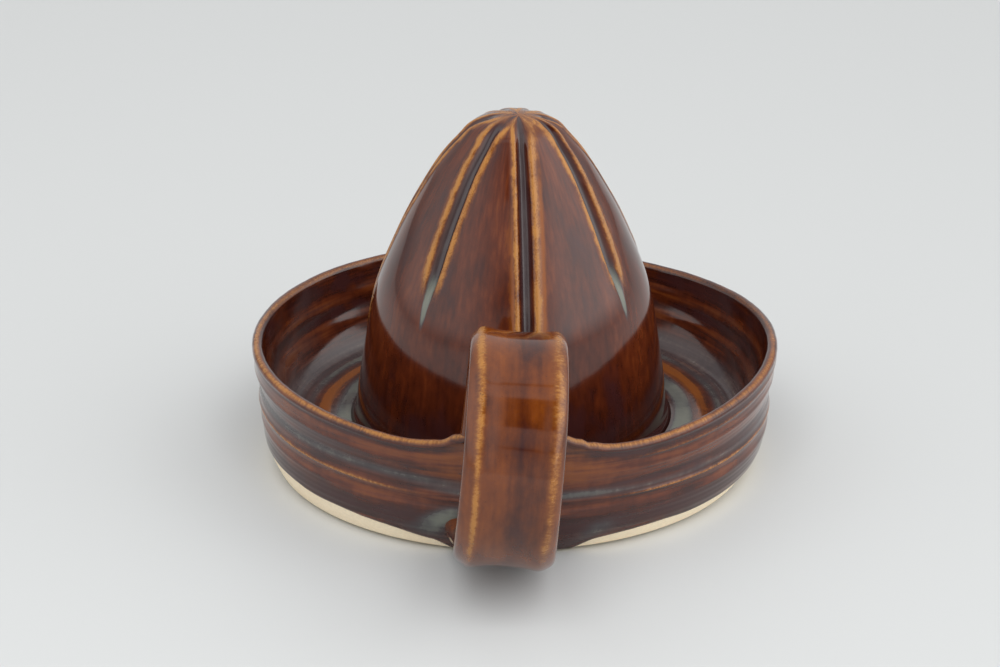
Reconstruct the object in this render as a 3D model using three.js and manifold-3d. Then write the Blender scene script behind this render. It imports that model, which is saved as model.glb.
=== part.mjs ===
// A hand-thrown stoneware citrus juicer: a shallow dish, a fluted hollow reamer and a strap handle.
// Millimetres, +Z up, table at z = 0. The handle points to -Y, and angles round the pot start there.
// Every piece is shaped about the pot's axis, and the whole pot is then moved along +Y
// so that the origin lies under the middle of its overall length and width.
import * as THREE from 'three';
import { mergeVertices } from 'three/addons/utils/BufferGeometryUtils.js';
import Module from 'manifold-3d';

// Dish
const RIM_RADIUS = 75.4;
const RIM_HEIGHT = 35;
const RIM_THICKNESS = 3.2;
const RIM_TILT = 0.9;
const RIM_WAVE = 1.3;
const WAIST_INSET = 1.7;
const WAIST_THICKNESS = 5;
const SHOULDER_INSET = 2.5;
const WALL_FOOT_THICKNESS = 10.4;
const FOOT_INSET = 8;
const FLOOR_THICKNESS = 12;
const MOAT_DEPTH = 0.9;

// Reamer
const REAMER_RADIUS = 44.5;
const REAMER_TOP = 103;
const REAMER_WALL = 6;
const CROWN_WALL = 9;
const FLUTE_COUNT = 7;
const FLUTE_START_ANGLE = 6.3;
const FLUTE_CROWDING = 3.8;
const FLUTE_WIDTH = 5.8;
const FLUTE_DEPTH = 2.2;
const FLUTE_END_HEIGHT = 55;
const FLUTE_RUNOUT = 9;
const COIL_WIDTH = 3;
const COIL_HEIGHT = 3.4;

// Handle
const STRAP_WIDTH = 25.2;
const STRAP_THICKNESS = 6.5;
const STRAP_DISH = 1;
const STRAP_EDGE_DROP = 1.8;
const LOOP_RADIUS = 30.6;
const LOOP_OVERHANG = 43.2;
const LOOP_HEIGHT = 40;
const LOOP_ROLL = 3.1;
const LOOP_ASIDE = 0.9;
const ROOT_LAP = 1.5;
const TAIL_HEIGHT = 6.6;
const UPPER_WAD_WIDTH = 44;
const UPPER_WAD_DEPTH = 14;
const UPPER_WAD_HEIGHT = 13;
const LOWER_WAD_WIDTH = 34;
const LOWER_WAD_DEPTH = 13;
const LOWER_WAD_HEIGHT = 12.4;

// Clearance between pieces that meet on a curved face
const LUTING_GAP = 0.3;

// Facets
const DISH_SIDES = 60;
const FLUTE_SIDES = 10;
const CONE_RINGS = 16;
const HOLLOW_RINGS = 8;
const STRAP_COLUMNS = 10;
const STRAP_STEPS = 32;

const wasm = await Module();
wasm.setup();

const radians = THREE.MathUtils.degToRad;
const smooth = THREE.MathUtils.smoothstep;
const v2 = (x, y) => new THREE.Vector2(x, y);

// Moves every vertex of a geometry to the place that the given rule works out for it.
function reshape(geometry, place) {
  const position = geometry.getAttribute('position');
  const point = new THREE.Vector3();
  for (let i = 0; i < position.count; i += 1) {
    point.fromBufferAttribute(position, i);
    place(point, i);
    position.setXYZ(i, point.x, point.y, point.z);
  }
  return geometry;
}

// Turns an outline of (radius, height) points about the pot's axis, with its seam at the handle.
function turned(outline, sides) {
  return new THREE.LatheGeometry(outline, sides).rotateX(Math.PI / 2);
}

// Pushes a closed outline outwards by a distance, for cutting a neighbour clear of it.
function grown(outline, distance) {
  const loop = outline.slice(0, -1);
  const moved = loop.map((point, i) => {
    const before = loop.at(i - 1);
    const after = loop[(i + 1) % loop.length];
    const along = after.clone().sub(before).normalize();
    return v2(point.x + along.y * distance, point.y - along.x * distance);
  });
  return [...moved, moved[0].clone()];
}

function solid(geometry) {
  const bare = geometry.clone();
  bare.deleteAttribute('normal');
  bare.deleteAttribute('uv');
  const merged = mergeVertices(bare);
  return new wasm.Manifold(
    new wasm.Mesh({
      numProp: 3,
      vertProperties: new Float32Array(merged.getAttribute('position').array),
      triVerts: new Uint32Array(merged.index.array),
    }),
  );
}

function surface(body) {
  const mesh = body.getMesh();
  const geometry = new THREE.BufferGeometry();
  geometry.setAttribute('position', new THREE.BufferAttribute(mesh.vertProperties, 3));
  geometry.setIndex(new THREE.BufferAttribute(mesh.triVerts, 1));
  geometry.computeVertexNormals();
  return geometry;
}

const glaze = (color, roughness) => new THREE.MeshStandardMaterial({ color, roughness, metalness: 0 });

function piece(name, geometry, material) {
  const mesh = new THREE.Mesh(geometry, material);
  mesh.name = name;
  return mesh;
}

// Height that the hand-thrown rim gains or loses at a place round the pot.
function rimWave(x, y) {
  const angle = Math.atan2(x, -y);
  return -RIM_TILT * Math.cos(angle) - RIM_WAVE * Math.cos(2 * angle);
}

// Floor: a thick ring with a rounded outside, a shallow moat and one throwing ring in the moat.
const coneBore = REAMER_RADIUS - REAMER_WALL;
const footRadius = RIM_RADIUS - FOOT_INSET;
const shoulderRadius = RIM_RADIUS - SHOULDER_INSET;
const wallInside = shoulderRadius - WALL_FOOT_THICKNESS;
const coilOutside = REAMER_RADIUS + LUTING_GAP + COIL_WIDTH;
const moatRing = (coilOutside + wallInside) / 2;

function floorOutline() {
  const moatFloor = FLOOR_THICKNESS - MOAT_DEPTH;
  const outside = new THREE.QuadraticBezierCurve(
    v2(footRadius, 0),
    v2(shoulderRadius, FLOOR_THICKNESS / 2),
    v2(shoulderRadius, FLOOR_THICKNESS),
  );
  return [
    v2(coneBore, 0),
    ...outside.getPoints(4),
    v2(wallInside, FLOOR_THICKNESS),
    v2((wallInside + moatRing) / 2, moatFloor),
    v2(moatRing, FLOOR_THICKNESS),
    v2((coilOutside + moatRing) / 2, moatFloor),
    v2(coilOutside, FLOOR_THICKNESS),
    v2(coneBore, FLOOR_THICKNESS),
    v2(coneBore, 0),
  ];
}

// Wall: a flaring shell that ends in a rolled rim.
function wallOutline() {
  const roll = RIM_THICKNESS / 2;
  const waistHeight = (FLOOR_THICKNESS + RIM_HEIGHT) / 2;
  const waistRadius = RIM_RADIUS - WAIST_INSET;
  const outside = new THREE.SplineCurve([
    v2(shoulderRadius, FLOOR_THICKNESS),
    v2(waistRadius, waistHeight),
    v2(RIM_RADIUS, RIM_HEIGHT - roll),
  ]);
  const inside = new THREE.SplineCurve([
    v2(RIM_RADIUS - RIM_THICKNESS, RIM_HEIGHT - roll),
    v2(waistRadius - WAIST_THICKNESS, waistHeight),
    v2(wallInside, FLOOR_THICKNESS),
  ]);
  const crest = [45, 90, 135].map((turn) => {
    const angle = radians(turn);
    return v2(RIM_RADIUS - roll + roll * Math.cos(angle), RIM_HEIGHT - roll + roll * Math.sin(angle));
  });
  return [...outside.getPoints(6), ...crest, ...inside.getPoints(6), v2(shoulderRadius, FLOOR_THICKNESS)];
}

function wavedWall(outline) {
  return reshape(turned(outline, DISH_SIDES), (point) => {
    point.z += rimWave(point.x, point.y) * smooth(point.z, FLOOR_THICKNESS, RIM_HEIGHT);
  });
}

// Reamer: the outside follows r = R * sqrt(1 - s^1.5), where s runs from 0 at the foot to 1 at the tip.
const coneHeight = REAMER_TOP - FLOOR_THICKNESS;
const coneRadius = (share) => REAMER_RADIUS * Math.sqrt(1 - share ** 1.5);
const hollowShare = (share) => share * (1 - CROWN_WALL / coneHeight);

function coneOutline() {
  const outside = [];
  for (let i = 0; i <= CONE_RINGS; i += 1) {
    const share = 1 - (i / CONE_RINGS) ** 1.7;
    outside.push(v2(coneRadius(share), FLOOR_THICKNESS + share * coneHeight));
  }
  const inside = [];
  for (let i = 0; i <= HOLLOW_RINGS; i += 1) {
    const share = 1 - (1 - i / HOLLOW_RINGS) ** 1.7;
    const narrowed = (coneRadius(share) * coneBore) / REAMER_RADIUS;
    inside.push(v2(narrowed, FLOOR_THICKNESS + hollowShare(share) * coneHeight));
  }
  return { outside: outside.reverse(), inside: inside.reverse() };
}

// Turns the cone's evenly spaced columns so that they crowd into the flutes, and cuts the flutes into it.
function flutedCone() {
  const { outside, inside } = coneOutline();
  const outline = [...inside, ...outside];
  const sides = FLUTE_COUNT * FLUTE_SIDES;
  const sector = (2 * Math.PI) / FLUTE_COUNT;
  const ringSize = outline.length;
  return reshape(turned(outline, sides), (point, vertex) => {
    const column = Math.floor(vertex / ringSize);
    const onOutside = vertex % ringSize >= inside.length;
    const flute = Math.floor(column / FLUTE_SIDES);
    const across = (column % FLUTE_SIDES) / FLUTE_SIDES;
    const radius = Math.hypot(point.x, point.y);
    const even = radians(FLUTE_START_ANGLE) + flute * sector;
    const middle = even - radians(FLUTE_CROWDING) * Math.sin(even);
    const next = even + sector - radians(FLUTE_CROWDING) * Math.sin(even + sector);
    const halfWidth = Math.min(FLUTE_WIDTH / 2 / Math.max(radius, 1), 0.36 * (next - middle));
    const angle = middle + fluteTurn(across, halfWidth, next - middle);
    const depth = onOutside ? fluteDepth(across, point.z) * smooth(radius, 0, 2 * FLUTE_WIDTH) : 0;
    point.x = (radius - depth) * Math.sin(angle);
    point.y = -(radius - depth) * Math.cos(angle);
  });
}

// Columns in the middle fifths of a sector stay wide, and the first and last three shape half a flute each.
function fluteTurn(across, halfWidth, sector) {
  const edge = 0.25;
  if (across <= edge) {
    return (across / edge) * halfWidth;
  }
  if (across >= 1 - edge) {
    return sector - ((1 - across) / edge) * halfWidth;
  }
  return halfWidth + ((across - edge) / (1 - 2 * edge)) * (sector - 2 * halfWidth);
}

function fluteDepth(across, height) {
  const fromMiddle = Math.min(across, 1 - across) / 0.25;
  const runout = smooth(height, FLUTE_END_HEIGHT, FLUTE_END_HEIGHT + FLUTE_RUNOUT);
  return fromMiddle < 1 ? FLUTE_DEPTH * runout * Math.cos((fromMiddle * Math.PI) / 2) : 0;
}

// Coil: a hollow-faced fillet in the corner between the cone and the floor.
function coilOutline() {
  const inner = REAMER_RADIUS + LUTING_GAP;
  const fillet = [0.25, 0.5, 0.75].map((turn) => {
    const angle = (turn * Math.PI) / 2;
    const out = inner + COIL_WIDTH * (1 - Math.sin(angle));
    return v2(out, FLOOR_THICKNESS + COIL_HEIGHT * (1 - Math.cos(angle)));
  });
  return [
    v2(inner, FLOOR_THICKNESS),
    v2(coilOutside, FLOOR_THICKNESS),
    ...fillet,
    v2(inner, FLOOR_THICKNESS + COIL_HEIGHT),
    v2(inner, FLOOR_THICKNESS),
  ];
}

// Handle: the strap's middle line as (distance from the pot's axis, height), from the rim round to the foot.
const loopReach = RIM_RADIUS + LOOP_OVERHANG;
const loopCentre = loopReach - LOOP_RADIUS;
const rimCrest = RIM_HEIGHT + rimWave(0, -1);
const rimMiddle = RIM_RADIUS - RIM_THICKNESS / 2;

function strapLine() {
  const bend = LOOP_RADIUS - STRAP_THICKNESS / 2;
  const start = radians(110);
  const end = radians(-80);
  const on = (angle) => v2(loopCentre + bend * Math.cos(angle), LOOP_HEIGHT + bend * Math.sin(angle));
  const rise = on(start);
  const fall = on(end);
  const root = v2(RIM_RADIUS, rimCrest - UPPER_WAD_HEIGHT / 2 - ROOT_LAP);
  const tail = v2(shoulderRadius - STRAP_THICKNESS / 2, TAIL_HEIGHT);
  const climb = (rise.y - root.y) / 2;
  const reach = (fall.x - tail.x) / 2;
  const line = new THREE.Path();
  line.moveTo(root.x, root.y);
  line.bezierCurveTo(
    root.x - STRAP_THICKNESS / 2,
    root.y + climb,
    rise.x - (climb / 2) * Math.sin(start),
    rise.y + (climb / 2) * Math.cos(start),
    rise.x,
    rise.y,
  );
  line.absarc(loopCentre, LOOP_HEIGHT, bend, start, end, true);
  line.bezierCurveTo(
    fall.x + reach * Math.sin(end),
    fall.y - reach * Math.cos(end),
    tail.x + reach,
    tail.y,
    tail.x,
    tail.y,
  );
  return line;
}

// Section of the strap: two ridges near its sides, a dished outer face between them and eased edges.
function strapFace(across, side) {
  const ridge = 0.8;
  const half = STRAP_THICKNESS / 2;
  const beyond = Math.max(0, Math.abs(across) - ridge) / (1 - ridge);
  const dish = side > 0 ? STRAP_DISH * Math.max(0, 1 - (across / ridge) ** 2) : 0;
  return side * (half - STRAP_EDGE_DROP * beyond ** 2 - dish);
}

function bentStrap(gap) {
  const line = strapLine();
  const roll = radians(LOOP_ROLL);
  const box = new THREE.BoxGeometry(2, 2, 1, STRAP_COLUMNS, 1, STRAP_STEPS);
  return reshape(box, (point) => {
    const along = THREE.MathUtils.clamp(point.z + 0.5, 0, 1);
    const middle = line.getPointAt(along);
    const run = line.getTangentAt(along);
    const lift = strapFace(point.x, point.y) + point.y * gap;
    const aside = point.x * (STRAP_WIDTH / 2 + gap);
    const out = middle.x - run.y * lift;
    const up = middle.y + run.x * lift - LOOP_HEIGHT;
    point.x = aside * Math.cos(roll) + up * Math.sin(roll) - LOOP_ASIDE;
    point.y = -out;
    point.z = LOOP_HEIGHT + up * Math.cos(roll) - aside * Math.sin(roll);
  });
}

// Wads: lumps of clay round each end of the strap, clear of the dish and of the strap.
function wad(width, depth, height, distance, level) {
  const lump = new THREE.SphereGeometry(0.5, 24, 14).rotateX(Math.PI / 2).scale(width, depth, height);
  return solid(lump.translate(0, -distance, level));
}

const dishClearance = solid(wavedWall(grown(wallOutline(), LUTING_GAP))).add(
  solid(turned(grown(floorOutline(), LUTING_GAP), DISH_SIDES)),
);
const strapClearance = solid(bentStrap(LUTING_GAP));
const lowerWadLevel = LUTING_GAP + LOWER_WAD_HEIGHT / 2;

const strap = solid(bentStrap(0)).subtract(dishClearance);
const upperWad = wad(UPPER_WAD_WIDTH, UPPER_WAD_DEPTH, UPPER_WAD_HEIGHT, rimMiddle, rimCrest)
  .subtract(dishClearance)
  .subtract(strapClearance);
const lowerWad = wad(LOWER_WAD_WIDTH, LOWER_WAD_DEPTH, LOWER_WAD_HEIGHT, shoulderRadius, lowerWadLevel)
  .subtract(dishClearance)
  .subtract(strapClearance);

const juicer = new THREE.Group();
juicer.position.y = LOOP_OVERHANG / 2;
juicer.add(
  piece('dish_floor', turned(floorOutline(), DISH_SIDES), glaze(0x8a6a45, 0.5)),
  piece('dish_wall', wavedWall(wallOutline()), glaze(0x5a2f1c, 0.25)),
  piece('reamer_cone', flutedCone(), glaze(0x4a2418, 0.2)),
  piece('reamer_foot_coil', turned(coilOutline(), DISH_SIDES), glaze(0x6f7468, 0.25)),
  piece('strap_handle', surface(strap), glaze(0x6a3a1c, 0.25)),
  piece('handle_upper_wad', surface(upperWad), glaze(0x7a4a22, 0.25)),
  piece('handle_lower_wad', surface(lowerWad), glaze(0x5c5a55, 0.25)),
);

export default juicer;
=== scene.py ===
"""A hand-thrown stoneware citrus juicer: glazed dish, fluted reamer, strap handle, stage and camera."""

import math
from types import SimpleNamespace

import bpy
import numpy as np
from bpy.props import FloatProperty, FloatVectorProperty, IntProperty, PointerProperty
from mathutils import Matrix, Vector


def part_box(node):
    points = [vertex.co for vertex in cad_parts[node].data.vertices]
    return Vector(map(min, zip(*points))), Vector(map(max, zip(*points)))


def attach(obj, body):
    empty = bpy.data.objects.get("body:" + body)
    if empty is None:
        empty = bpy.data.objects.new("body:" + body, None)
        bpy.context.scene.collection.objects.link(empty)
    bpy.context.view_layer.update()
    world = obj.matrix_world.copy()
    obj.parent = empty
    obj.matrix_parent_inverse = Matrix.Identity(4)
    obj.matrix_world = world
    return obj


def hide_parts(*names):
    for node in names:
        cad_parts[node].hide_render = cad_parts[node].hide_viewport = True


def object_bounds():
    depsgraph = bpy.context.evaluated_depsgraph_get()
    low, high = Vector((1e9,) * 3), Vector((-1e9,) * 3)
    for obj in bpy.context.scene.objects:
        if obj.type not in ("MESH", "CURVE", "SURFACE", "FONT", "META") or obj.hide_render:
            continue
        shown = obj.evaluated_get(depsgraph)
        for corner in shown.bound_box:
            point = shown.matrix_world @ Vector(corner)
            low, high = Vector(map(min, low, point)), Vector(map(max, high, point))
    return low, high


bl_info = {
    "name": "Thrown citrus juicer",
    "version": (1, 0, 0),
    "blender": (4, 5, 0),
    "location": "View3D > Sidebar > Juicer",
    "description": "Builds a stoneware citrus juicer with a breaking brown glaze, and its studio",
    "category": "Object",
}

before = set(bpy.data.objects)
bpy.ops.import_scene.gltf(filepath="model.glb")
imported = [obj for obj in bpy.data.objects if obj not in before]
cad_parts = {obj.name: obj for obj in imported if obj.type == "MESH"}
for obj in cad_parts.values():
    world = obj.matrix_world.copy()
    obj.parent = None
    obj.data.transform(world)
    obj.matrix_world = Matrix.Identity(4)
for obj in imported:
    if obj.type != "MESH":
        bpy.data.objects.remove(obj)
CAD_LOW, CAD_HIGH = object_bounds()
MM = 0.001

# Places that the solid model gives: the pot's axis, its rim, its floor and the reamer's tip
WALL_LOW, WALL_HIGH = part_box("dish_wall")
FLOOR_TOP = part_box("dish_floor")[1].z
CONE_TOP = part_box("reamer_cone")[1].z
RIM_RADIUS = (WALL_HIGH.x - WALL_LOW.x) / 2
AXIS = Vector(((WALL_HIGH.x + WALL_LOW.x) / 2, WALL_HIGH.y - RIM_RADIUS, 0))

# Room left inside the solid model's box for the unevenness of the surface
INSET = 0.2 * MM

# Fineness of the meshes
DISH_COLUMNS = 400
DISH_CROWDING = 0.4
HOLE_ROWS = 5
BASE_ROWS = 14
WALL_ROWS = 88
RIM_ROWS = 18
INNER_ROWS = 66
FLOOR_ROWS = 46
CONE_COLUMNS = 464
CONE_ROWS = 180
HOLLOW_ROWS = 20
MERGE_DISTANCE = 0.001 * MM
STRAP_STATIONS = 290
STRAP_POINTS = 132
ROOT_POINTS = 80
LOOP_POINTS = 240
TAIL_POINTS = 60

# Rounds of averaging that ease the corners of the strap's section
STRAP_EASING = 9

# Start and end of the strap's round loop, in degrees up from its foremost point
LOOP_START = 110
LOOP_END = -80

# Middle of the strap's ends: how far each is sunk inside the rim's radius, and its height
ROOT_SINK = 3.1 * MM
ROOT_HEIGHT = 24.8 * MM
TAIL_SINK = 4.2 * MM
TAIL_HEIGHT = 6.6 * MM

# Flutes that run lower than the rest, and the turns of the flutes beside the front one
FRONT_DROP = 14 * MM
FAR_LEFT_TURN = -1.72
FAR_LEFT_DROP = 24 * MM
LEFT_TURN = -0.8
RIGHT_TURN = 0.8

# Values of the bare mask, a distance past the glaze's edge, well away from it on either side
GLAZED = -10 * MM
UNGLAZED = 10 * MM

# Finish of the glaze and of the clay
GLAZE_IOR = 1.55
CLAY_ROUGHNESS = 0.75
RELIEF_STRENGTH = 0.5
RELIEF_DEPTH = 0.1 * MM

# Runs of the glaze on each piece
DISH_RUNS = {"Width": 20 * MM, "Length": 1.4 * MM, "Contrast": 1.6, "Grain": 0.8}
REAMER_RUNS = {"Width": 1.5 * MM, "Length": 6 * MM, "Contrast": 0.65, "Grain": 1.0}
HANDLE_RUNS = {"Width": 2 * MM, "Length": 22 * MM, "Contrast": 0.6, "Grain": 0.5}

# Edges and seams of the light tent, in degrees of climb from the level in front over the top
FRONT_SEAM = 22.3
FRONT_TOP = 42
ROOF_EDGE = 72
ROOF_SEAM = 87.0

# Rest of the stage, with the camera's sensor in millimetres
FLOOR_HALF = 4.0
FLOOR_ROUGHNESS = 0.6
LAMP_SIZE = 1.2
LAMP_PLACE = (0, -0.85, 1.25)
SENSOR_WIDTH = 36


def length(name, description, default):
    return FloatProperty(
        name=name, description=description, default=default, subtype="DISTANCE", unit="LENGTH"
    )


def brightness(name, description, default):
    return FloatProperty(name=name, description=description, default=default, min=0)


def angle(name, description, degrees):
    return FloatProperty(
        name=name, description=description, default=math.radians(degrees), subtype="ANGLE", unit="ROTATION"
    )


def linear(channel):
    """Strength of the light that a screen gives for a channel, both 0 to 1."""
    return channel / 12.92 if channel <= 0.04045 else ((channel + 0.055) / 1.055) ** 2.4


def colour(name, description, red, green, blue):
    """A colour given as it is seen on a screen, 0 to 255 each."""
    shade = tuple(linear(channel / 255) for channel in (red, green, blue))
    return FloatVectorProperty(
        name=name, description=description, default=shade, size=3, min=0, max=1, subtype="COLOR"
    )


class DishSizes(bpy.types.PropertyGroup):
    """Sizes of the thrown dish."""

    rim_radius: length("Rim radius", "Outside of the rim", RIM_RADIUS - INSET)
    rim_height: length("Rim height", "Crest of the rim before it waves", 35 * MM)
    rim_thickness: length("Rim thickness", "Wall at the rim", 3.2 * MM)
    shoulder_radius: length("Shoulder radius", "Outside where the wall leaves the foot", 72.9 * MM)
    foot_radius: length("Foot radius", "Outside of the standing face", 67.9 * MM)
    foot_aside: length("Foot aside", "Shift of the standing face to the left", 0.9 * MM)
    floor_height: length("Floor height", "Top of the moat's floor", FLOOR_TOP)
    moat_radius: length("Moat radius", "Corner between the moat and the wall", 62.5 * MM)
    hole_radius: length("Hole radius", "Hole below the hollow reamer", 38.5 * MM)
    ring_depth: FloatProperty(
        name="Ring depth", description="Strength of the throwing rings", default=1, min=0, max=3
    )
    glaze_line: length("Glaze line", "Height at which the glaze stops above the foot", 6.2 * MM)


class ReamerSizes(bpy.types.PropertyGroup):
    """Sizes of the fluted reamer."""

    foot_radius: length("Foot radius", "Outside of the cone at the floor", 44.9 * MM)
    tip_height: length("Tip height", "Top of the cone", CONE_TOP - INSET)
    wall: length("Wall", "Thickness at the foot", 6 * MM)
    crown: length("Crown", "Thickness at the tip", 9 * MM)
    flute_count: IntProperty(name="Flutes", description="Flutes round the cone", default=7, min=3, max=24)
    start_angle: angle("Start angle", "Turn of the front flute from the handle", 4.5)
    pole_aside: length("Pole aside", "Meeting point of the flutes, right of the tip", 1.0 * MM)
    pole_front: length("Pole front", "Meeting point of the flutes, in front of the tip", 2.3 * MM)
    flute_width: length("Flute width", "From lip to lip", 5.0 * MM)
    flute_depth: length("Flute depth", "Depth of a flute's channel", 1.9 * MM)
    lip_height: length("Lip height", "Raised edge beside a flute", 0.4 * MM)
    flute_end: length("Flute end", "Height at which the flutes run out", 55 * MM)
    run_out: length("Run-out", "Height over which a flute fades", 9 * MM)
    coil: length("Coil", "Flare that joins the cone to the floor", 1.5 * MM)
    belly: length("Belly", "Fullness of the cone above its foot", 0.9 * MM)
    wobble: length("Wobble", "Unevenness of the thrown surface", 0.25 * MM)
    seed: FloatProperty(name="Seed", description="Picks the unevenness", default=3.7)


class HandleSizes(bpy.types.PropertyGroup):
    """Sizes of the strap handle."""

    width: length("Strap width", "Across the strap", 25.4 * MM)
    thickness: length("Strap thickness", "Through the strap at its ridges", 6.5 * MM)
    dish: length("Dish", "Hollow of the outer face between the ridges", 1 * MM)
    loop_radius: length("Loop radius", "Outside of the loop", 30.6 * MM)
    loop_height: length("Loop height", "Middle of the loop", 40 * MM)
    loop_reach: length("Loop reach", "From the pot's axis to the front", AXIS.y - CAD_LOW.y)
    rise: length("Rise", "Extra height of the loop's crown", 1.3 * MM)
    sag: length("Sag", "Extra depth of the loop's underside", 0.4 * MM)
    lean: angle("Lean", "Lean of the loop to the right", 3.1)
    tilt: angle("Tilt", "Slope of the strap's face down to the right", 4.3)
    aside: length("Aside", "Shift of the loop to the left", 0.8 * MM)
    sway: length("Sway", "Further shift of the loop's lower half", 1.1 * MM)


class GlazeColours(bpy.types.PropertyGroup):
    """Colours of the glaze and of the clay below it."""

    iron: colour("Iron", "Deepest brown of the glaze", 46, 16, 10)
    rust: colour("Rust", "Red brown of the runs", 90, 38, 17)
    russet: colour("Russet", "Lighter mottling", 116, 60, 26)
    plum: colour("Plum", "Purple brown of the quiet flats", 62, 32, 32)
    # Amber also paints a dark reflection beside the cone's front flute.
    amber: colour("Amber", "Clear fringe beside a thin edge", 136, 72, 8)
    toffee: colour("Toffee", "Glaze thinning towards an edge", 126, 72, 28)
    honey: colour("Honey", "Glaze broken thin over an edge", 165, 110, 47)
    ash: colour("Ash", "Pale pool of thick glaze", 114, 118, 108)
    slate: colour("Slate", "Dark pool of thick glaze", 62, 62, 66)
    clay: colour("Clay", "Bare fired clay", 250, 233, 203)


class StageSettings(bpy.types.PropertyGroup):
    """Camera, floor and light."""

    lens: FloatProperty(name="Lens", description="Focal length, millimetres", default=105, min=10)
    distance: length("Distance", "From the camera to its aim", 836.9 * MM)
    elevation: angle("Elevation", "Camera above the level", 22.683)
    aim: FloatVectorProperty(
        name="Aim",
        description="Point the camera looks at",
        default=(AXIS.x - 4.19 * MM, AXIS.y, 35.98 * MM),
        subtype="XYZ",
        unit="LENGTH",
    )
    floor: colour("Floor", "Pale studio floor", 201, 203, 203)
    above: brightness("Above", "Brightness of the tent above and behind", 0.72)
    left: brightness("Left", "Brightness of the tent's left side", 1.08)
    right: brightness("Right", "Brightness of the tent's right side", 1.95)
    rear: brightness("Rear", "Brightness of the tent's rear corners", 0.3)
    front: brightness("Front", "Brightness of the open front", 0.55)
    fill: brightness("Fill", "Brightness of the lamp over the camera", 3.2)


# Curves and bumps shared by the pieces


def smooth(value, low, high):
    """Eased rise from 0 to 1 between two values."""
    share = np.clip((value - low) / (high - low), 0, 1)
    return share * share * (3 - 2 * share)


def bump(value, centre, width):
    """Bell of height 1 about a value."""
    return np.exp(-(((value - centre) / width) ** 2))


def bezier(start, first, second, end, count):
    """Points of a curve between two ends, drawn towards two handles."""
    share = np.linspace(0, 1, count)[:, None]
    rest = 1 - share
    return rest**3 * start + 3 * rest**2 * share * first + 3 * rest * share**2 * second + share**3 * end


def run(start, end, count):
    """Points of a straight run, without the last one."""
    share = np.linspace(0, 1, count, endpoint=False)[:, None]
    return np.array(start) * (1 - share) + np.array(end) * share


def arc(centre, radius, start, end, count):
    """Points of an arc between two angles in degrees, without the last one."""
    turn = np.radians(np.linspace(start, end, count, endpoint=False))
    return np.array(centre) + radius * np.column_stack([np.cos(turn), np.sin(turn)])


def evenly(points, count):
    """The same line with its points spread evenly, and how far along it each one lies."""
    step = np.linalg.norm(np.diff(points, axis=0), axis=1)
    reach = np.concatenate([[0], np.cumsum(step)])
    wanted = np.linspace(0, reach[-1], count)
    return np.column_stack([np.interp(wanted, reach, column) for column in points.T]), wanted


# Meshes


def outwards(mesh):
    """Turns a closed mesh's faces outwards, going by the sign of its volume."""
    mesh.calc_loop_triangles()
    places = np.empty(len(mesh.vertices) * 3)
    mesh.vertices.foreach_get("co", places)
    corners = np.empty(len(mesh.loop_triangles) * 3, np.int32)
    mesh.loop_triangles.foreach_get("vertices", corners)
    a, b, c = places.reshape(-1, 3)[corners.reshape(-1, 3)].transpose(1, 0, 2)
    if np.einsum("ij,ij->i", a, np.cross(b, c)).sum() < 0:
        mesh.flip_normals()


def masks_on(mesh, masks):
    """Writes each mask to the mesh's points as an attribute."""
    for name, values in masks.items():
        kind = "FLOAT_VECTOR" if values.ndim == 2 else "FLOAT"
        field = "vector" if kind == "FLOAT_VECTOR" else "value"
        mesh.attributes.new(name, kind, "POINT").data.foreach_set(field, values.astype(np.float32).ravel())


def skin(name, grid, masks, closed_rows):
    """A closed object from rings of points: the last ring meets the first, or a face closes each end."""
    rows, columns = grid.shape[:2]
    index = np.arange(rows * columns).reshape(rows, columns)
    below = index if closed_rows else index[:-1]
    above = np.roll(index, -1, 0) if closed_rows else index[1:]
    quads = np.stack([below, np.roll(below, -1, 1), np.roll(above, -1, 1), above], -1).reshape(-1, 4)
    faces = quads.tolist()
    if not closed_rows:
        faces += [index[0, ::-1].tolist(), index[-1].tolist()]
    mesh = bpy.data.meshes.new(name)
    mesh.from_pydata(grid.reshape(-1, 3).tolist(), [], faces)
    flat = {key: values.reshape(rows * columns, -1).squeeze() for key, values in masks.items()}
    masks_on(mesh, flat)
    mesh.shade_smooth()
    outwards(mesh)
    piece = bpy.data.objects.new(name, mesh)
    bpy.context.scene.collection.objects.link(piece)
    return piece


def settle(piece, slot, *nodes):
    """Fixes a finished piece to the part and lets it stand for the solids it dresses."""
    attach(piece, "root")
    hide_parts(*nodes)


# Dish


def rim_wave(turn):
    """Height that the hand-thrown rim gains or loses round the pot, and its rise into the handle."""
    wave = -0.64 * np.sin(turn) - 0.88 * np.cos(turn) - 1.31 * np.cos(2 * turn) + 0.24 * np.sin(2 * turn)
    wave += -0.63 * np.sin(3 * turn) - 0.3 * np.cos(3 * turn)
    return wave * MM, 9.7 * MM * bump(turn, 0, 0.22)


def glaze_line(sizes, turn):
    """Height at which the glaze stops: lower on the right, and down to the table behind the handle."""
    drift = -0.95 * np.sin(turn) - 4.8 * bump(turn, 0, 0.37)
    waver = 0.3 * np.sin(5 * turn + 0.6) + 0.18 * np.sin(11 * turn + 2) + 0.1 * np.sin(23 * turn)
    return (sizes.glaze_line + (drift + waver) * MM) * smooth(np.abs(turn), 0.19, 0.32)


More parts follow.
